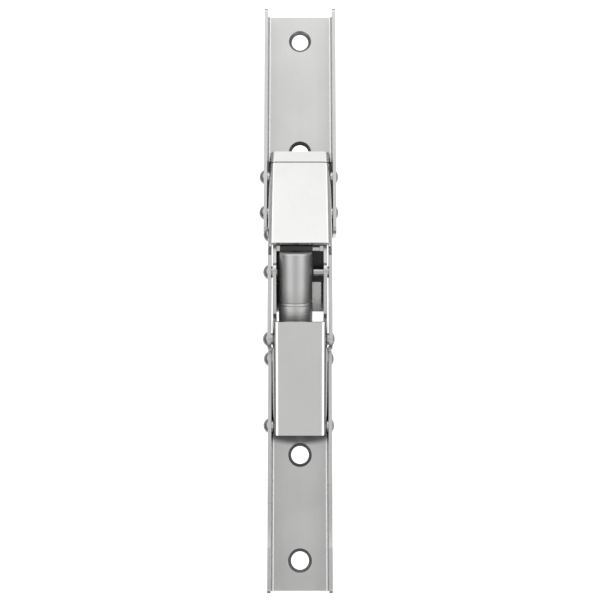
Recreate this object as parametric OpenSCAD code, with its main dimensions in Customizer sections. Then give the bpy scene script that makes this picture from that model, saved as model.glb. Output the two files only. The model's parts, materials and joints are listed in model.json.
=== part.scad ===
// Seven-pivot link hinge with a built-in damper, lying fully open with both
// channel backs on the XY plane. The length runs along Y, the pivots along X.
// The origin is midway between the lower channel's two screw holes, on its back.

/* [Channels] */
// Sheet thickness of every pressed part
sheet = 1.5; // [1.2:0.1:1.6]
// Outer width of the upper channel
upper_w = 32.4; // [32:0.1:34]
// Outer width of the lower channel and of the outer arms
lower_w = 27.6; // [27.4:0.1:27.8]
// Height of the channel flanges above the mounting plane
channel_depth = 12; // [11.5:0.5:12.5]
// Length of the lower channel
lower_len = 104.5; // [96:0.5:120]
// Length of the upper channel
upper_len = 106.5; // [100:0.5:120]
// Inside radius of the channel bends
bend_r = 1.2; // [1:0.1:1.2]
// Depth of the shallow relief in the lower channel's flange edges
relief_depth = 1.2; // [0.8:0.1:1.5]

/* [Screw holes] */
// Distance between the lower channel's screw holes
lower_pitch = 45; // [40:1:46]
// Distance between the upper channel's screw holes
upper_pitch = 54; // [50:1:54]
// Diameter of the screw holes
screw_hole_d = 7.7; // [7.6:0.1:8]
// Diameter of the countersinks at the web's inner face
countersink_d = 10.5; // [9:0.1:10.6]

/* [Linkage] */
// Height of the channel pivots above the mounting plane
pivot_z = 7.8; // [7.8:0.1:8]
// Height of the crossing pivot above the channel pivots
rise = 13.5; // [13:0.1:14]
// Distance between the two lower channel pivots
lower_link = 29; // [28:0.5:29]
// Distance between the two upper channel pivots
upper_link = 16.5; // [16:0.5:17]
// Reach of the inner arm from its channel pivot to the crossing
inner_reach = 36; // [35:0.5:36]
// Reach of the outer arms from their channel pivot to the crossing
outer_reach = 29.75; // [29:0.25:30]
// Outer width of the inner arm and of the lower cover
inner_w = 23.2; // [22.4:0.1:23.4]
// Angle that the hinge closes through
fold = 90; // [80:1:90]

/* [Rivets] */
// Shank diameter of the pivot rivets
pin_d = 3.5; // [3:0.1:3.6]
// Diameter of the domed rivet heads
head_d = 6.5; // [6:0.1:6.6]
// Height of the domed rivet heads
head_h = 2.1; // [1.6:0.1:2.1]
// Diameter of the low formed tails
tail_d = 6; // [5:0.1:6]
// Height of the low formed tails
tail_h = 1.1; // [0.6:0.1:1.2]
// Diameter of the spacer washers
washer_d = 5; // [4.6:0.1:5]

/* [Damper] */
// Outer diameter of the damper barrel
barrel_d = 14.4; // [13:0.1:14.4]
// Sideways offset of the damper axis from the middle of the hinge
barrel_x = -1.9; // [-1.9:0.1:-1.5]
// Diameter of the damper rod
rod_d = 3.5; // [3:0.1:3.5]
// Stroke of the damper rod over the whole fold
stroke = 5; // [4:0.5:5]

/* [Hidden] */
$fn = 64;
run = 0.06;
grip = 0.01;
gap = 0.05;

lower_half = lower_w / 2;
upper_half = upper_w / 2;
inner_half = inner_w / 2;
outer_in = lower_half - sheet;
upper_in = upper_half - sheet;
inner_in = inner_half - sheet;
pin_r = pin_d / 2;

// Places along Y: lower pivots, crossing, upper pivots and the two link pivots
lower_end = -35;
rim_to_pivot = 10.25;
screw_to_end = 12;
lower_inner = lower_end + lower_len;
a2 = [35, pivot_z];
a1 = a2 + [lower_link, 0];
crossing = a1 + [inner_reach, rise];
link_e = crossing - [lower_link, 0];
link_d = crossing + [upper_link, 0];
b1 = crossing + [outer_reach, -rise];
b2 = b1 + [upper_link, 0];
upper_inner = b1[0] - rim_to_pivot;
upper_end = upper_inner + upper_len;
upper_screws = upper_end - screw_to_end - upper_pitch / 2;

inner_angle = atan2(rise, inner_reach);
outer_angle = atan2(rise, outer_reach);
inner_len = norm([inner_reach, rise]);
outer_len = norm([outer_reach, rise]);

// Rounded ends and edges of the links, measured from their pivots
arm_end_r = 4.2;
link_end_r = 3.3;
bar_half = 4.5;
web_top = 4.9;
d_end_r = 3.2;
lower_tail = 3;
upper_tail = 4.5;
lower_overhang = 8.4;
upper_overhang = 8;
past = 60;

// The damper, measured along the inner arm from its channel pivot
barrel_n = 0.5;
barrel_s0 = 24.6;
barrel_s1 = 47.5;
sleeve_s0 = 10.5;
bore_r = 5.6;
sleeve_r = barrel_d / 2 + 0.15;
end_wall = 2.5;
piston_s0 = 31;
piston_len = 4;
seal_len = 1.4;
spring_turns = 5;
spring_wire = 0.8;
cam_r0 = 4;
cam_w = 5;
nose_gap = 0.6;
clip_s0 = 47.7;
clip_mid = -4.5;
web_s1 = 33.3;
arm_web_n = barrel_n - sleeve_r - 0.2 - sheet;

steel = [0.74, 0.74, 0.73];
bright = [0.9, 0.9, 0.89];
dark = [0.55, 0.55, 0.55];

// ---------------------------------------------------------------- functions

function polar(r, a) = [r * cos(a), r * sin(a)];

// A point (y, z) in the frame that starts at o and is turned by a
function local(p, o, a) = [
    (p[0] - o[0]) * cos(a) + (p[1] - o[1]) * sin(a),
    -(p[0] - o[0]) * sin(a) + (p[1] - o[1]) * cos(a)
];

// Where the line from p touches the circle of radius r about c
function touch(p, c, r, side) = c + polar(r,
    atan2(p[1] - c[1], p[0] - c[0]) + side * acos(r / norm(p - c)));

// The inner arm's frame holds the damper
d_in = local(link_d, a1, inner_angle);

// Coil of the return spring: rings of points swept along a helix
function coil_ring(i, rings, r, len, wire, sides) = [
    for (k = [0:sides - 1])
        let (a = 360 * spring_turns * i / rings, b = 360 * k / sides)
        [(r + wire / 2 * cos(b)) * cos(a), (r + wire / 2 * cos(b)) * sin(a),
            len * i / rings + wire / 2 * sin(b)]
];

// ------------------------------------------------------------ shared shapes

// Extrudes a side outline, drawn in Y and Z, from x0 to x1
module from_side(x0, x1) {
    translate([x0, 0, 0]) rotate([90, 0, 90]) linear_extrude(x1 - x0) children();
}

// The same side outline as a pair of plates, left and right
module both_sides(x0, x1) {
    from_side(x0, x1) children();
    from_side(-x1, -x0) children();
}

// Extrudes a section, drawn in X and Z, from y0 to y1
module along(y0, y1) {
    translate([0, y1, 0]) rotate([90, 0, 0]) linear_extrude(y1 - y0) children();
}

module at(p) {
    translate([0, p[0], p[1]]) children();
}

module inner_frame() {
    at(a1) rotate([inner_angle, 0, 0]) children();
}

// A rectangle with round lower corners, from height 0 to h
module cup(half, h, r) {
    translate([-half, r]) square([2 * half, h - r]);
    translate([-half + r, 0]) square([2 * (half - r), h]);
    for (side = [-1, 1]) translate([side * (half - r), r]) circle(r);
}

module u_section(half, h) {
    difference() {
        cup(half, h, bend_r + sheet);
        translate([0, sheet]) cup(half - sheet, h + 1, bend_r);
    }
}

module pin_hole(p, r = pin_r + run) {
    at(p) rotate([0, 90, 0]) cylinder(h = past, r = r, center = true);
}

module screw_hole(y) {
    land = sheet - (countersink_d - screw_hole_d) / 2;
    translate([0, y, -1]) cylinder(h = sheet + 2, d = screw_hole_d);
    translate([0, y, land])
        cylinder(h = sheet - land + 0.01, d1 = screw_hole_d, d2 = countersink_d + 0.02);
}

// A straight bar with round ends in a side outline
module bar(p, q, r) {
    v = (q - p) / norm(q - p);
    n = [-v[1], v[0]] * r;
    for (c = [p, q]) translate(c) circle(r);
    polygon([p + n, p - n, q - n, q + n]);
}

// A domed cap of the given diameter and height, standing on z = 0
module dome(d, h) {
    r = (d * d / 4 + h * h) / (2 * h);
    intersection() {
        translate([0, 0, h - r]) sphere(r);
        cylinder(h = h, d = d);
    }
}

// A rivet along X: domed head on the left face, low tail on the right face
module rivet(p, face, tail) {
    at(p) {
        rotate([0, 90, 0]) translate([0, 0, -face]) cylinder(h = 2 * face, r = pin_r);
        translate([-face, 0, 0]) rotate([0, -90, 0]) dome(head_d, head_h);
        if (tail) translate([face, 0, 0]) rotate([0, 90, 0]) dome(tail_d, tail_h);
    }
}

module washers(p, x0, x1) {
    for (side = [-1, 1])
        at(p) translate([side * (x0 + x1) / 2, 0, 0]) rotate([0, 90, 0]) difference() {
            cylinder(h = x1 - x0 - 2 * gap, d = washer_d, center = true);
            cylinder(h = 5, r = pin_r + grip, center = true);
        }
}

// ---------------------------------------------------------------- channels

module flange_outline(y0, y1, inner_at_high) {
    corner = 3;
    foot = 2;
    r0 = inner_at_high ? foot : corner;
    r1 = inner_at_high ? corner : foot;
    polygon([[y0, 0], [y1, 0], [y1, channel_depth - r1], [y1 - r1, channel_depth],
        [y0 + r0, channel_depth], [y0, channel_depth - r0]]);
    translate([y0 + r0, channel_depth - r0]) circle(r0);
    translate([y1 - r1, channel_depth - r1]) circle(r1);
}

// The relief in the flange edges: a small step at each end, hollowed between
module relief_outline() {
    middle = -7.1;
    half = 9;
    step = 0.5;
    hollow = relief_depth - step;
    r = (half * half + hollow * hollow) / (2 * hollow);
    intersection() {
        translate([middle, channel_depth - relief_depth + r]) circle(r, $fn = 180);
        translate([middle - half, channel_depth - relief_depth])
            square([2 * half, relief_depth + 1]);
    }
}

module lower_channel() {
    color(steel) difference() {
        intersection() {
            along(lower_end, lower_inner) u_section(lower_half, channel_depth);
            from_side(-upper_half, upper_half)
                flange_outline(lower_end, lower_inner, true);
        }
        for (y = [-lower_pitch / 2, lower_pitch / 2]) screw_hole(y);
        for (p = [a1, a2]) pin_hole(p, pin_r + grip);
        from_side(-upper_half, upper_half) relief_outline();
    }
}

module upper_channel() {
    color(steel) difference() {
        intersection() {
            along(upper_inner, upper_end) u_section(upper_half, channel_depth);
            from_side(-upper_half, upper_half)
                flange_outline(upper_inner, upper_end, false);
        }
        for (y = [-upper_pitch / 2, upper_pitch / 2]) screw_hole(upper_screws + y);
        for (p = [b1, b2]) pin_hole(p, pin_r + grip);
    }
}

// ------------------------------------------------------------------ covers

// A pressed cover seen in its own frame: from its channel pivot at the start
// to its link pivot at len, with the web above and the legs hanging down
module cover(half, len, tail, over, end_r) {
    skirt = bend_r + sheet;
    difference() {
        intersection() {
            along(-end_r - tail, len + over) mirror([0, 1, 0])
                translate([0, -web_top]) u_section(half, web_top + end_r + 1);
            from_side(-half - 1, half + 1) union() {
                bar([0, 0], [len, 0], end_r);
                polygon([[-tail, web_top - skirt], polar(end_r, 205), [0, 0], [len, 0],
                    [len, 0] + polar(end_r, -50), [len + over, web_top - skirt],
                    [len + over, web_top + 1], [-tail, web_top + 1]]);
            }
        }
        pin_hole([0, 0]);
        pin_hole([len, 0]);
    }
}

module lower_cover() {
    color(bright) at(a2) rotate([inner_angle, 0, 0])
        cover(inner_half, inner_len, lower_tail, lower_overhang, arm_end_r - 0.2);
}

// The upper cover's frame starts at its channel pivot and runs towards the crossing
module upper_cover_frame() {
    at(b2) rotate([0, 0, 180]) rotate([outer_angle, 0, 0]) children();
}

module upper_cover() {
    color(bright) upper_cover_frame()
        cover(lower_half, outer_len, upper_tail, upper_overhang, link_end_r);
}

// The fixed end of the upper cover's line, standing on the channel's web and
// cut to clear the cover's tail as it swings
module upper_guard() {
    reach = 11.2;
    legs = 9;
    clear_r = norm([web_top, upper_tail]) + 0.15;
    color(bright) difference() {
        upper_cover_frame() along(-reach, -web_top - 0.12) mirror([0, 1, 0])
            translate([0, -web_top]) u_section(lower_half, web_top + legs);
        pin_hole(b2, clear_r);
        translate([-past / 2, b2[0] - past, -past / 2]) cube([past, past, past]);
        along(b2[0] - 1, b2[0] + past) channel_floor();
    }
}

// The section that the upper channel's web and inner bends take up, and all below
module channel_floor() {
    difference() {
        translate([-upper_half, -past / 2]) square([upper_w, past / 2 + sheet + bend_r]);
        translate([0, sheet]) cup(upper_in, bend_r + 1, bend_r);
    }
}

// -------------------------------------------------------------------- arms

module outer_arm_outline() {
    shoulder = crossing + [6.5, bar_half];
    foot = crossing + [14, -3.9];
    bar(link_e, crossing, bar_half);
    translate(b1) circle(link_end_r);
    polygon([crossing + [0, bar_half], crossing - [bar_half, 0],
        touch(b1, crossing, bar_half, -1), touch(crossing, b1, link_end_r, 1),
        b1, touch(foot, b1, link_end_r, -1), foot, shoulder]);
}

module outer_arm(x0) {
    color(steel) difference() {
        from_side(x0, x0 + sheet) outer_arm_outline();
        pin_hole(b1);
        for (p = [crossing, link_e]) pin_hole(p, pin_r + grip);
    }
}

module outer_arm_left() {
    outer_arm(-lower_half);
}

module outer_arm_right() {
    outer_arm(outer_in);
}

// Side outline of the inner arm in its own frame, reaching just below its web
module inner_arm_outline() {
    ramp = 19;
    rise_end = 45;
    top = 7;
    top_r = 3.5;
    top_end = 39.5;
    low = [ramp, arm_web_n - 0.5];
    last = [rise_end, arm_web_n - 0.5];
    brow = [top_end + top_r, top - top_r];
    circle(arm_end_r);
    translate([top_end, top - top_r]) circle(top_r);
    translate(d_in) circle(d_end_r);
    polygon([[0, arm_end_r], [-1, 0], touch(low, [0, 0], arm_end_r, -1), low, last,
        touch(last, d_in, d_end_r, 1), d_in, touch(brow, d_in, d_end_r, -1), brow,
        [top_end, top], [ramp + 2.5, top], [ramp, arm_end_r]]);
}

module inner_arm() {
    web_s0 = 19.6;
    color(steel) inner_frame() difference() {
        intersection() {
            along(-past / 2, past) translate([0, arm_web_n]) u_section(inner_half, past / 2);
            from_side(-inner_half - 1, inner_half + 1) inner_arm_outline();
        }
        for (s = [[-past, web_s0], [web_s1, past]])
            translate([-inner_in, s[0], -past / 2]) cube([2 * inner_in, s[1] - s[0], past]);
        pin_hole([0, 0]);
        pin_hole([inner_len, 0]);
        pin_hole(d_in);
    }
}

// ------------------------------------------------------------------ rivets

module rivet_upper_cover() {
    color(bright) rivet(b2, upper_half, true);
}

module rivet_outer_arm() {
    color(bright) rivet(b1, upper_half, true);
}

module rivet_cover_link() {
    color(bright) rivet(link_d, lower_half, false);
}

module rivet_lower_link() {
    color(bright) rivet(link_e, lower_half, true);
}

module rivet_inner_arm() {
    color(bright) rivet(a1, lower_half, true);
}

module rivet_lower_cover() {
    color(bright) rivet(a2, lower_half, true);
}

// Two short rivets, because the damper barrel fills the middle
module rivets_crossing() {
    barrel_right = barrel_x + sleeve_r + 0.4;
    color(bright) at(crossing) {
        translate([-lower_half, 0, 0]) {
            rotate([0, 90, 0]) cylinder(h = lower_half - inner_in + 0.3, r = pin_r);
            rotate([0, -90, 0]) dome(head_d, head_h);
        }
        translate([barrel_right, 0, 0]) rotate([0, 90, 0])
            cylinder(h = lower_half - barrel_right, r = pin_r);
    }
}

// ----------------------------------------------------------------- washers

module washers_upper_channel() {
    color(dark) for (p = [b1, b2]) washers(p, lower_half, upper_in);
}

module washers_lower_channel() {
    color(dark) for (p = [a1, a2]) washers(p, inner_half, outer_in);
}

module washers_cover_link() {
    color(dark) washers(link_d, inner_half, outer_in);
}

module washers_crossing() {
    color(dark) washers(crossing, inner_half, outer_in);
}

module washers_lower_link() {
    color(dark) washers(link_e, inner_half, outer_in);
}

// ------------------------------------------------------------------ damper

// A turned piece on the damper axis, from s0 onwards along the inner arm
module on_damper(s0) {
    inner_frame() translate([barrel_x, s0, barrel_n]) rotate([-90, 0, 0]) children();
}

module damper_barrel() {
    len = barrel_s1 - barrel_s0;
    r = barrel_d / 2;
    chamfer = 0.8;
    color(dark) on_damper(barrel_s0) rotate_extrude()
        polygon([[bore_r, 0], [r, 0], [r, len - chamfer], [r - chamfer, len], [0, len],
            [0, len - end_wall], [bore_r, len - end_wall]]);
}

module damper_sleeve() {
    len = barrel_s0 - sleeve_s0;
    chamfer = 0.5;
    hole_r = rod_d / 2 + run;
    color(dark) on_damper(sleeve_s0) rotate_extrude()
        polygon([[hole_r, 0], [sleeve_r - chamfer, 0], [sleeve_r, chamfer],
            [sleeve_r, len - chamfer], [sleeve_r - chamfer, len], [bore_r, len],
            [bore_r, end_wall], [hole_r, end_wall]]);
}

module damper_rod() {
    nose_r = rod_d / 2;
    s0 = cam_r0 + nose_gap + nose_r;
    color(bright) on_damper(s0) {
        sphere(nose_r);
        cylinder(h = piston_s0 - s0, r = nose_r);
    }
}

module damper_piston() {
    r = bore_r - 0.1;
    groove = 0.8;
    half = (piston_len - seal_len) / 2;
    color(dark) on_damper(piston_s0) rotate_extrude()
        polygon([[0, 0], [r, 0], [r, half], [r - groove, half], [r - groove, half + seal_len],
            [r, half + seal_len], [r, piston_len], [0, piston_len]]);
}

module damper_seal() {
    r = bore_r - 0.06;
    groove_r = bore_r - 0.9;
    half = (piston_len - seal_len) / 2;
    color([0.1, 0.1, 0.1]) on_damper(piston_s0 + half + 0.01) rotate_extrude()
        polygon([[groove_r + grip, 0], [r, 0], [r, seal_len - 0.02],
            [groove_r + grip, seal_len - 0.02]]);
}

module damper_spring() {
    sides = 8;
    rings = 70;
    s0 = piston_s0 + piston_len + spring_wire / 2 + 0.02;
    len = barrel_s1 - end_wall - s0 - spring_wire / 2 - 0.02;
    points = [for (i = [0:rings]) each coil_ring(i, rings, 3.6, len, spring_wire, sides)];
    walls = [for (i = [0:rings - 1], k = [0:sides - 1]) let (n = (k + 1) % sides)
        each [[i * sides + k, (i + 1) * sides + k, i * sides + n],
            [(i + 1) * sides + k, (i + 1) * sides + n, i * sides + n]]];
    start = [[for (k = [0:sides - 1]) k]];
    finish = [[for (k = [sides - 1:-1:0]) rings * sides + k]];
    color(steel) on_damper(s0) polyhedron(points, concat(walls, start, finish));
}

// Spiral cam, fixed in the lower channel, that pushes the rod in as the arm swings
module damper_cam() {
    step = 5;
    foot_back = 7;
    foot_front = 4;
    foot_z = sheet - pivot_z;
    spiral = [for (a = [0:step:fold + 30])
        polar(cam_r0 + stroke * min(a, fold) / fold, inner_angle + a)];
    color([0.85, 0.84, 0.8]) difference() {
        from_side(barrel_x - cam_w / 2, barrel_x + cam_w / 2)
            translate(a1) polygon(concat([polar(cam_r0, inner_angle - 60),
                polar(cam_r0, inner_angle - 30)], spiral, [[-foot_back, foot_z],
                [foot_front, foot_z]]));
        pin_hole(a1, pin_r + grip);
    }
}

// Moulded saddle between the arm's legs, hollowed to hold the barrel, with an
// end wall that takes the barrel's thrust
module damper_saddle() {
    half = inner_in - gap;
    height = 4.4;
    relief = 1.1;
    wall_s1 = 49.9;
    wall_top = 1;
    wall_x0 = -half + sheet + gap;
    wall_x1 = barrel_x + barrel_d / 2 - gap;
    color([0.08, 0.08, 0.08]) inner_frame() {
        difference() {
            translate([-half, web_s1 + gap, arm_web_n])
                cube([2 * half, clip_s0 - web_s1 - 2 * gap, height]);
            translate([barrel_x, 0, barrel_n]) rotate([-90, 0, 0])
                cylinder(h = past, r = barrel_d / 2 + gap);
            translate([half - 3.4, web_s1 + 3, arm_web_n + height - relief])
                cube([4, 4, relief + 1]);
        }
        from_side(wall_x0, wall_x1) translate([barrel_s1 + gap, clip_mid + gap])
            square([wall_s1 - barrel_s1 - gap, wall_top - clip_mid - gap]);
    }
}

// Cross plate with two ears on the link pivot, against the barrel's closed end
module damper_clip() {
    ear_x = inner_in - gap;
    top = 1;
    ear_len = 2.3;
    foot = d_in[1] - d_end_r;
    bar_top = -0.2;
    color(bright) inner_frame() difference() {
        union() {
            both_sides(ear_x - sheet, ear_x) union() {
                translate(d_in) circle(d_end_r);
                polygon([[clip_s0, foot], [d_in[0], foot], d_in,
                    touch([clip_s0 + ear_len, top], d_in, d_end_r, -1),
                    [clip_s0 + ear_len, top], [clip_s0, top]]);
            }
            from_side(-ear_x, ear_x) translate([clip_s0, foot])
                square([sheet, clip_mid - foot]);
            from_side(barrel_x + barrel_d / 2, ear_x) translate([clip_s0, foot])
                square([sheet, bar_top - foot]);
        }
        pin_hole(d_in);
    }
}

lower_channel();
upper_channel();
upper_guard();
lower_cover();
upper_cover();
outer_arm_left();
outer_arm_right();
inner_arm();
rivet_upper_cover();
rivet_outer_arm();
rivet_cover_link();
rivets_crossing();
rivet_lower_link();
rivet_inner_arm();
rivet_lower_cover();
washers_upper_channel();
washers_lower_channel();
washers_cover_link();
washers_crossing();
washers_lower_link();
damper_barrel();
damper_sleeve();
damper_rod();
damper_piston();
damper_seal();
damper_spring();
damper_cam();
damper_saddle();
damper_clip();
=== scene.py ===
import json
import math

import bmesh
import bpy
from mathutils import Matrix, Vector


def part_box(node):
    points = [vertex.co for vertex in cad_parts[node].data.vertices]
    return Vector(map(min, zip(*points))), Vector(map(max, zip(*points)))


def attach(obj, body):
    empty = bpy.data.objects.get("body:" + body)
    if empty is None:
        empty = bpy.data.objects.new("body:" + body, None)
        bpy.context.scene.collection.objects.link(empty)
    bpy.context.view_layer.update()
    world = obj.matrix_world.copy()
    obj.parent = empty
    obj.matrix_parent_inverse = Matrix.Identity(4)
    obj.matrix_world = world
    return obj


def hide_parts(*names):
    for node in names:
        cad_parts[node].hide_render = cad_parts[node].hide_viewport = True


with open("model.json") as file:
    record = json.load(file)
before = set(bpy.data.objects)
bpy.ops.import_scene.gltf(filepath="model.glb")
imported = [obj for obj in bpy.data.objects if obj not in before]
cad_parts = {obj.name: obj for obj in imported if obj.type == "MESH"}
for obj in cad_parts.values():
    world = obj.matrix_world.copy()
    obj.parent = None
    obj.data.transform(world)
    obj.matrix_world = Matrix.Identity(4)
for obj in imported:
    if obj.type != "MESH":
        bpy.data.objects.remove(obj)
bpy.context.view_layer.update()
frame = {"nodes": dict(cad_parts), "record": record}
nodes = frame["nodes"]

MM = 0.001
SHEET = 1.5 * MM             # thickness of the pressed parts
COUNTERSINK_R = 5.5 * MM     # a little past the countersinks' outer edge
DAMPER_BORE_R = 5.6 * MM     # bore of the damper's barrel and sleeve
DAMPER_END_WALL = 2.5 * MM   # their closed ends
ROD_HOLE_R = 1.81 * MM       # hole for the rod in the sleeve's end
CRIMP_DEPTH = 0.16 * MM      # of the dents around the barrel's mouth

scene = bpy.context.scene
scene.view_settings.view_transform = "Standard"
scene.view_settings.look = "None"


# ------------------------------------------------------------------- node trees

class Tree:
    """Builds a node tree from plain calls: inputs are values, nodes or (node, output)."""

    def __init__(self, tree):
        self.tree = tree

    def node(self, kind, props=None, **inputs):
        n = self.tree.nodes.new(kind)
        for k, v in (props or {}).items():
            setattr(n, k, v)
        for k, v in inputs.items():
            self.plug(n, k.replace("_", " "), v)
        return n

    def plug(self, n, key, v):
        socket = n.inputs[int(key[3:])] if key.startswith("in ") else n.inputs[key]
        if isinstance(v, bpy.types.Node):
            self.tree.links.new(v.outputs[0], socket)
        elif isinstance(v, tuple) and v and isinstance(v[0], bpy.types.Node):
            self.tree.links.new(v[0].outputs[v[1]], socket)
        else:
            socket.default_value = v

    def math(self, operation, a, b=0.0):
        return self.node("ShaderNodeMath", {"operation": operation}, in_0=a, in_1=b)

    def remap(self, value, a, b, c, d, kind="SMOOTHSTEP"):
        n = self.node("ShaderNodeMapRange", {"interpolation_type": kind})
        for key, v in (("Value", value), ("From Min", a), ("From Max", b),
                       ("To Min", c), ("To Max", d)):
            self.plug(n, key, v)
        return n

    def noise(self, vector, scale, detail=2.0, rough=0.5):
        n = self.node("ShaderNodeTexNoise", Vector=vector)
        n.inputs["Scale"].default_value = scale
        n.inputs["Detail"].default_value = detail
        n.inputs["Roughness"].default_value = rough
        return n

    def stretch(self, vector, scale, move=(0, 0, 0)):
        n = self.node("ShaderNodeMapping", Vector=vector)
        n.inputs["Scale"].default_value = scale
        n.inputs["Location"].default_value = move
        return n

    def mix(self, factor, a, b):
        n = self.node("ShaderNodeMix", {"data_type": "RGBA"})
        self.plug(n, "in 0", factor)
        self.plug(n, "in 6", a)
        self.plug(n, "in 7", b)
        return (n, 2)


def new_material(name):
    """An empty node material and the tree that fills it."""
    mat = bpy.data.materials.new(name)
    mat.use_nodes = True
    t = Tree(mat.node_tree)
    t.tree.nodes.clear()
    return mat, t


def grey(v, warm=0.0):
    return (v * (1 + warm), v, v * (1 - warm), 1)


# --------------------------------------------------------------------- materials

def scratch_mask(t, coord, stretch):
    """Sparse scratches: narrow ridges of a stretched noise, kept only in some places."""
    lean = t.noise(t.stretch(coord, stretch), 1.0, 0.0)
    ridge = t.math("ABSOLUTE", t.math("SUBTRACT", lean, 0.5))
    thin = t.remap(ridge, 0.0, 0.012, 1.0, 0.0)
    place = t.remap(t.noise(coord, 210, 1.0, 0.4), 0.63, 0.70, 0.0, 1.0)
    return t.math("MULTIPLY", thin, place)


def dent_mask(t, coord):
    """A few small round dents from handling."""
    cells = t.node("ShaderNodeTexVoronoi", {"feature": "F1"}, Vector=t.stretch(coord, (0.5, 1, 1)))
    cells.inputs["Scale"].default_value = 150
    pit = t.remap((cells, "Distance"), 0.0, 0.16, 1.0, 0.0)
    some = t.remap(t.noise(coord, 80, 0.0), 0.56, 0.62, 0.0, 1.0)
    return t.math("MULTIPLY", pit, some)


def bend_highlight_mask(t, coord, crowns):
    """Mask for a painted highlight: the line just inside each bend of the covers, where the bends
    catch the light. crowns are the half widths of the lower and the upper cover."""
    between = 90 * MM
    side = t.node("ShaderNodeSeparateXYZ", Vector=coord)
    half = t.remap((side, "Y"), between - 2 * MM, between + 2 * MM, crowns[0], crowns[1], "LINEAR")
    inset = t.math("SUBTRACT", half, t.math("ABSOLUTE", (side, "X")))
    rise = t.remap(inset, 0.7 * MM, 1.1 * MM, 0.0, 1.0)
    fall = t.remap(inset, 1.9 * MM, 2.5 * MM, 1.0, 0.0)
    uneven = t.remap(t.noise(coord, 160, 2.0), 0.3, 0.6, 0.8, 1.0)
    return t.math("MULTIPLY", t.math("MULTIPLY", rise, fall), uneven)


def paint_countersink_shade(t, coord, z, tone, base):
    """Painted shade on the countersinks' cut faces, between the web's inner face and its back."""
    below_face = t.remap(z, SHEET - 0.08 * MM, SHEET - 0.03 * MM, 1.0, 0.0)
    above_back = t.remap(z, 0.02 * MM, 0.08 * MM, 0.0, 1.0)
    within = t.math("MULTIPLY", below_face, above_back)
    for screw_y in screw_places:
        away = t.node("ShaderNodeVectorMath", {"operation": "DISTANCE"}, in_0=coord)
        away.inputs[1].default_value = (0, screw_y, SHEET / 2)
        ring = t.remap((away, "Value"), COUNTERSINK_R - 0.2 * MM, COUNTERSINK_R, 1.0, 0.0)
        # painted shade: the countersinks' cut faces darkened to 0.42 of the base tone
        tone = t.mix(t.math("MULTIPLY", ring, within), tone, grey(base * 0.42))
    return tone


def add_painted_shadow(t, coord, z, cloud, tone, base):
    """A painted shadow on the web's inner face, around the lowest pivot under the lower cover's end.
    """
    spot = t.node("ShaderNodeVectorMath", {"operation": "LENGTH"},
                  in_0=t.stretch(coord, (0.42, 1, 1), (0, -lowest_pivot, 0)))
    shadow_mask = t.remap((spot, "Value"), 6.4 * MM, 9.2 * MM, 1.0, 0.0)
    shadow_mask = t.math("MULTIPLY", shadow_mask, t.remap(z, 3 * MM, 5 * MM, 1.0, 0.0))
    shadow_mask = t.math("MULTIPLY", shadow_mask, t.remap(z, 0.6 * SHEET, 0.8 * SHEET, 0.0, 1.0))
    shadow_mask = t.math("MULTIPLY", shadow_mask, t.remap(cloud, 0.3, 0.55, 0.88, 1.0))
    # painted shadow: the web darkened to 0.24 of the base tone
    return t.mix(shadow_mask, tone, grey(base * 0.24))


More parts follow.
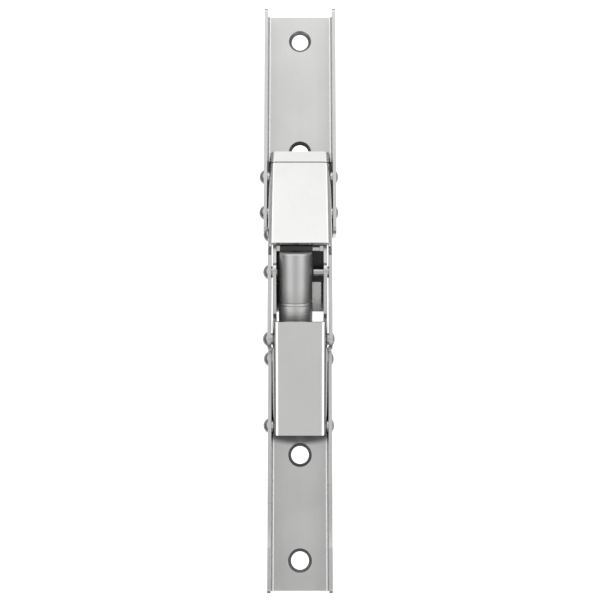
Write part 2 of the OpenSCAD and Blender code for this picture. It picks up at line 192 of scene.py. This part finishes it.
def steel(name, base, rough, grain=(2600, 45, 2600), grain_bump=0.25, streak=0.06, wear=0.10,
          dents=0.0, crowns=None, channel=False, scratches=(700, 30, 700), warm=0.006):
    """Satin sheet steel: fine grain along one axis, faint longer streaks, soft blotches,
    small scratches, and edges rubbed brighter. crowns adds a painted highlight along the covers'
    bends, and channel adds painted shade in the countersinks and a painted shadow at the lowest
    pivot."""
    mat, t = new_material(name)
    coord = (t.node("ShaderNodeTexCoord"), "Object")
    fine = t.noise(t.stretch(coord, grain), 1.0, 3.0, 0.6)
    lines = t.noise(t.stretch(coord, (700, 9, 700)), 1.0, 2.0, 0.5)
    blotch = t.noise(coord, 45, 3.0, 0.55)
    cloud = t.noise(coord, 240, 2.0, 0.5)
    scratch = scratch_mask(t, coord, scratches)
    geo = t.node("ShaderNodeNewGeometry")
    edge = t.remap((geo, "Pointiness"), 0.515, 0.60, 0.0, 1.0)
    rub = t.math("MULTIPLY", edge, t.remap(cloud, 0.3, 0.6, 0.4, 1.0))

    tone = t.mix(t.remap(blotch, 0.3, 0.7, 0.0, 1.0), grey(base * 0.965, warm), grey(base, warm))
    tone = t.mix(t.remap(lines, 0.35, 0.65, 0.0, streak), tone, grey(base * 0.7, warm))
    tone = t.mix(t.math("MULTIPLY", scratch, 0.35), tone, grey(min(base * 1.35, 0.95)))
    tone = t.mix(t.math("MULTIPLY", rub, wear * 4), tone, grey(min(base * 1.18, 0.95)))
    r = t.remap(fine, 0.25, 0.75, rough * 0.88, rough * 1.12, "LINEAR")
    r = t.math("ADD", r, t.remap(blotch, 0.3, 0.7, -0.02, 0.02))
    r = t.math("SUBTRACT", r, t.math("MULTIPLY", rub, 0.06))
    height = t.math("ADD", t.math("MULTIPLY", fine, 0.6), t.math("MULTIPLY", lines, 0.15))
    height = t.math("ADD", height, t.math("MULTIPLY", scratch, -0.5))

    if crowns:
        painted_bend_highlight = bend_highlight_mask(t, coord, crowns)
        # painted highlight: the strip inside each cover bend made nearly white, and a little smoother
        tone = t.mix(painted_bend_highlight, tone, grey(0.96))
        r = t.math("SUBTRACT", r, t.math("MULTIPLY", painted_bend_highlight, 0.05))
    if channel:
        z = (t.node("ShaderNodeSeparateXYZ", Vector=coord), "Z")
        # painted shade in the countersinks
        tone = paint_countersink_shade(t, coord, z, tone, base)
        # painted shadow around the lowest pivot
        tone = add_painted_shadow(t, coord, z, cloud, tone, base)
    if dents:
        height = t.math("ADD", height, t.math("MULTIPLY", dent_mask(t, coord), -dents))

    bump = t.node("ShaderNodeBump", Height=height)
    bump.inputs["Strength"].default_value = grain_bump
    bump.inputs["Distance"].default_value = 0.04 * MM
    p = t.node("ShaderNodeBsdfPrincipled", Normal=bump)
    t.plug(p, "Base Color", tone)
    t.plug(p, "Roughness", r)
    p.inputs["Metallic"].default_value = 1.0
    t.node("ShaderNodeOutputMaterial", Surface=p)
    return mat


def dull(name, base, rough, grain_scale, bump_depth, low=0.85):
    """Rubber or moulded plastic: an even fine texture with slightly uneven gloss."""
    mat, t = new_material(name)
    coord = (t.node("ShaderNodeTexCoord"), "Object")
    fine = t.noise(coord, grain_scale, 3.0, 0.6)
    patch = t.noise(coord, 160, 2.0, 0.5)
    tone = t.mix(t.remap(patch, 0.3, 0.7, 0.0, 1.0), tuple(c * low for c in base) + (1,), base + (1,))
    r = t.remap(fine, 0.3, 0.7, rough - 0.08, rough + 0.08, "LINEAR")
    bump = t.node("ShaderNodeBump", Height=fine)
    bump.inputs["Strength"].default_value = 0.3
    bump.inputs["Distance"].default_value = bump_depth
    p = t.node("ShaderNodeBsdfPrincipled", Normal=bump, Roughness=r)
    t.plug(p, "Base Color", tone)
    t.node("ShaderNodeOutputMaterial", Surface=p)
    return mat


# Places that the surfaces depend on, from the frame
cover_halves = [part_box(name)[1][0] for name in ("lower_cover", "upper_cover")]
lowest_pivot = sum(c.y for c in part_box("rivet_lower_cover")) / 2
screw_places = []
for mount in frame["record"]["mounts"]:
    if mount["kind"] == "bolt_pattern":
        half = mount["dims"]["spacing_y_mm"] * MM / 2
        screw_places += [mount["pos_m"][1] - half, mount["pos_m"][1] + half]

# One material for each slot that the record names
materials = {
    "channel_steel": steel("channel_satin", 0.62, 0.32, streak=0.05, dents=2.0, wear=0.02,
                           grain_bump=0.16, channel=True, scratches=(60, 1400, 60)),
    "cover_steel": steel("cover_satin", 0.65, 0.20, grain=(3200, 60, 3200), streak=0.03,
                         grain_bump=0.15, wear=0.03, crowns=cover_halves),
    "arm_steel": steel("arm_satin", 0.60, 0.30, streak=0.06, wear=0.03),
    "rivet_steel": steel("rivet_tumbled", 0.46, 0.24, grain=(1400, 1400, 1400), streak=0.03),
    "washer_steel": steel("washer_plain", 0.6, 0.35, grain=(1200, 1200, 1200)),
    "barrel_steel": steel("barrel_drawn", 0.50, 0.44, grain=(3000, 30, 3000), grain_bump=0.1,
                          streak=0.03, wear=0.15),
    "rod_steel": steel("rod_ground", 0.75, 0.12, grain=(400, 5000, 400), grain_bump=0.1),
    "spring_steel": steel("spring_wire", 0.5, 0.35),
    "piston_alloy": steel("piston_turned", 0.68, 0.3, grain=(200, 5000, 200)),
    "seal_rubber": dull("seal_rubber", (0.025, 0.025, 0.026), 0.6, 2500, 0.05 * MM),
    "saddle_plastic": dull("saddle_plastic", (0.03, 0.03, 0.03), 0.5, 3000, 0.03 * MM, 0.8),
    "cam_plastic": dull("cam_plastic", (0.72, 0.70, 0.64), 0.45, 3000, 0.03 * MM, 0.92),
}

for node in nodes.values():
    for slot in node.material_slots:
        slot.material = materials[slot.material.name]


# ------------------------------------------------------------------- round edges

def soften(node, width):
    """Deburred edges: joins the mesh's flat triangles, then rounds its sharp edges."""
    weld = node.modifiers.new("weld", "WELD")
    weld.merge_threshold = 2e-6
    flat = node.modifiers.new("flat", "DECIMATE")
    flat.decimate_type = "DISSOLVE"
    flat.angle_limit = math.radians(0.15)
    bevel = node.modifiers.new("bevel", "BEVEL")
    bevel.width = width
    bevel.segments = 2
    bevel.limit_method = "ANGLE"
    bevel.angle_limit = math.radians(28)
    bevel.use_clamp_overlap = False
    node.modifiers.new("normal", "WEIGHTED_NORMAL")


# Width of each piece's rounded edges, in millimetres
EDGES = {"lower_channel": 0.08, "upper_channel": 0.08, "upper_guard": 0.05, "lower_cover": 0.10,
         "upper_cover": 0.05, "outer_arm_left": 0.14, "outer_arm_right": 0.14, "inner_arm": 0.12,
         "damper_saddle": 0.20, "damper_clip": 0.10}
for name, width in EDGES.items():
    soften(nodes[name], width * MM)


# ------------------------------------------------------------ the damper's body

def centre(name):
    low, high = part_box(name)
    return (low + high) / 2


pivot = Vector((0, *centre("rivet_inner_arm")[1:]))
along = (Vector((0, *centre("rivets_crossing")[1:])) - pivot).normalized()
across = Vector((0, -along.z, along.y))


def on_arm(name):
    """A damper piece's axis and extent, measured along the inner arm from its pivot."""
    points = [v.co - pivot for v in nodes[name].data.vertices]
    s = [p.dot(along) for p in points]
    n = [p.dot(across) for p in points]
    x = [p.x for p in points]
    axis = Vector(((min(x) + max(x)) / 2, 0, 0)) + across * (min(n) + max(n)) / 2
    return axis, min(s), max(s), (max(x) - min(x)) / 2


def turned(name, node, slot, body, profile, dents=0, dent_ring=(0, 0), sides=96):
    """A turned piece: profile is a closed line of (radius, distance from its low end); the
    outer skin is crimped by a ring of shallow dents between the two given distances."""
    axis, s0, s1, radius = on_arm(node)
    verts, faces = [], []
    for r, h in profile:
        for k in range(sides):
            a = 2 * math.pi * k / sides
            rr = r
            if dents and dent_ring[0] <= h <= dent_ring[1] and r > 0.8 * radius:
                rr -= CRIMP_DEPTH * (0.5 + 0.5 * math.cos(dents * a))
            verts.append(pivot + axis + along * (s0 + h)
                         + Vector((1, 0, 0)) * rr * math.cos(a) + across * rr * math.sin(a))
    rings = len(profile)
    for i in range(rings):
        j = (i + 1) % rings
        for k in range(sides):
            m = (k + 1) % sides
            faces.append((i * sides + k, i * sides + m, j * sides + m, j * sides + k))
    mesh = bpy.data.meshes.new(name)
    mesh.from_pydata(verts, [], faces)
    bm = bmesh.new()
    bm.from_mesh(mesh)
    bmesh.ops.remove_doubles(bm, verts=bm.verts, dist=1e-6)
    bmesh.ops.dissolve_degenerate(bm, edges=bm.edges, dist=1e-7)
    bmesh.ops.recalc_face_normals(bm, faces=bm.faces)
    bm.to_mesh(mesh)
    bm.free()
    for poly in mesh.polygons:
        poly.use_smooth = True
    mesh.set_sharp_from_angle(angle=math.radians(32))
    piece = bpy.data.objects.new(name, mesh)
    scene.collection.objects.link(piece)
    mesh.materials.append(materials[slot])
    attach(piece, body)
    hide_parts(node)


def shoulder(radius, height, r, steps=7, up=True):
    """A quarter round of radius r between a side wall and an end face at the given height:
    the outer end's when up, the lower end's when not."""
    turn = [math.pi / 2 * i / steps for i in range(steps + 1)]
    if up:
        return [(radius - r + r * math.cos(a), height - r + r * math.sin(a)) for a in turn]
    return [(radius - r + r * math.sin(a), height + r - r * math.cos(a)) for a in turn]


def add_barrel():
    """Drawn barrel with a rounded, dimpled closed end and a crimped groove near its mouth."""
    _, s0, s1, r = on_arm("damper_barrel")
    length = s1 - s0
    steps = 6
    seam = [(r - 0.10 * MM * math.sin(math.pi * i / steps), (0.7 + 0.15 * i) * MM)
            for i in range(steps + 1)]
    dimple = [(2.2 * MM, length), (1.9 * MM, length - 0.35 * MM), (0, length - 0.45 * MM)]
    profile = ([(DAMPER_BORE_R, 0)] + shoulder(r, 0, 0.22 * MM, 4, up=False) + seam
               + [(r, 8 * MM), (r, 14 * MM)] + shoulder(r, length, 1.1 * MM) + dimple
               + [(0, length - DAMPER_END_WALL), (DAMPER_BORE_R, length - DAMPER_END_WALL)])
    turned("barrel_turned", "damper_barrel", "barrel_steel", "inner_arm", profile,
           dents=14, dent_ring=(0.9 * MM, 1.4 * MM), sides=112)


def add_sleeve():
    """Sleeve under the barrel with rounded ends and a faint tool groove."""
    _, s0, s1, r = on_arm("damper_sleeve")
    length = s1 - s0
    groove = [(r, length - 3.0 * MM), (r - 0.07 * MM, length - 2.9 * MM),
              (r - 0.07 * MM, length - 2.7 * MM), (r, length - 2.6 * MM)]
    profile = ([(ROD_HOLE_R, 0)] + shoulder(r, 0, 0.45 * MM, 4, up=False) + groove
               + shoulder(r, length, 0.35 * MM, 4)
               + [(DAMPER_BORE_R, length), (DAMPER_BORE_R, DAMPER_END_WALL),
                  (ROD_HOLE_R, DAMPER_END_WALL)])
    turned("sleeve_turned", "damper_sleeve", "barrel_steel", "inner_arm", profile)


add_barrel()
add_sleeve()


# ------------------------------------------------------------------ studio and end

def aim(obj, place, target):
    """Puts a camera or light somewhere and points it at a target."""
    obj.location = place
    obj.rotation_mode = "QUATERNION"
    obj.rotation_quaternion = (Vector(target) - Vector(place)).to_track_quat("-Z", "Y")


def add_camera():
    """Looks down on the middle of the hinge, from a little towards its lower end."""
    data = bpy.data.cameras.new("camera")
    data.angle = 2 * math.atan(0.3)
    data.clip_start = 0.01
    data.clip_end = 50
    cam = bpy.data.objects.new("camera", data)
    scene.collection.objects.link(cam)
    tilt, distance = math.radians(9.5), 0.450
    middle = Vector((0, 0.0914, 0))
    aim(cam, middle + distance * Vector((0, -math.sin(tilt), math.cos(tilt))), middle)
    scene.camera = cam


def add_softbox(name, place, target, width, height, radiance):
    """A rectangular light of even radiance, whatever its size."""
    light = bpy.data.lights.new(name, "AREA")
    light.shape = "RECTANGLE"
    light.size = width
    light.size_y = height
    light.energy = radiance * math.pi * width * height
    obj = bpy.data.objects.new(name, light)
    scene.collection.objects.link(obj)
    obj.visible_camera = False
    aim(obj, place, target)


def add_world():
    """Pale overhead light, dark at the horizon, with a dark patch where the camera stands."""
    world = bpy.data.worlds.new("studio")
    scene.world = world
    world.use_nodes = True
    t = Tree(world.node_tree)
    t.tree.nodes.clear()
    coord = t.node("ShaderNodeTexCoord")
    split = t.node("ShaderNodeSeparateXYZ", Vector=(coord, "Generated"))
    sky = t.remap((split, "Z"), 0.0, 0.80, 0.10, 0.82)
    back = t.remap((split, "Y"), 0.0, 0.5, 0.0, 0.22)
    lens = t.node("ShaderNodeVectorMath", {"operation": "DOT_PRODUCT"}, in_0=(coord, "Generated"))
    lens.inputs[1].default_value = (0, -0.165, 0.986)
    patch = t.remap((lens, "Value"), 0.961, 0.994, 0.0, 0.28)
    total = t.math("SUBTRACT", t.math("ADD", sky, back), patch)
    shader = t.node("ShaderNodeBackground", Color=(1, 1, 1, 1), Strength=total)
    t.node("ShaderNodeOutputWorld", Surface=shader)


def add_floor():
    """A pale floor far below, lit up in the picture and greyer further out."""
    mesh = bpy.data.meshes.new("floor")
    mesh.from_pydata([(-15, -15, 0), (15, -15, 0), (15, 15, 0), (-15, 15, 0)], [], [(0, 1, 2, 3)])
    floor = bpy.data.objects.new("floor", mesh)
    floor.location = (0, 0.6, -3.0)
    scene.collection.objects.link(floor)
    mat, t = new_material("floor_pale")
    coord = (t.node("ShaderNodeTexCoord"), "Object")
    away = t.node("ShaderNodeVectorMath", {"operation": "LENGTH"}, in_0=coord)
    glow = t.remap((away, "Value"), 1.5, 3.5, 1.0, 0.25)
    paint = t.node("ShaderNodeBsdfPrincipled")
    mottle = t.remap(t.noise(coord, 1.0), 0.3, 0.7, 0.0, 1.0)
    t.plug(paint, "Base Color", t.mix(mottle, grey(0.36), grey(0.40)))
    paint.inputs["Roughness"].default_value = 0.8
    paint.inputs["Emission Color"].default_value = (1, 1, 1, 1)
    t.plug(paint, "Emission Strength", glow)
    t.node("ShaderNodeOutputMaterial", Surface=paint)
    mesh.materials.append(mat)


add_floor()
add_world()
add_softbox("softbox_top", (0, 1.12, 0.66), (0, 0.1, 0), 1.6, 0.85, 0.68)
add_softbox("softbox_left", (-0.80, 0.1, 0.80), (0, 0.1, 0), 2.4, 0.85, 0.78)
add_softbox("softbox_right", (0.80, 0.1, 0.80), (0, 0.1, 0), 2.4, 0.85, 0.78)
add_camera()
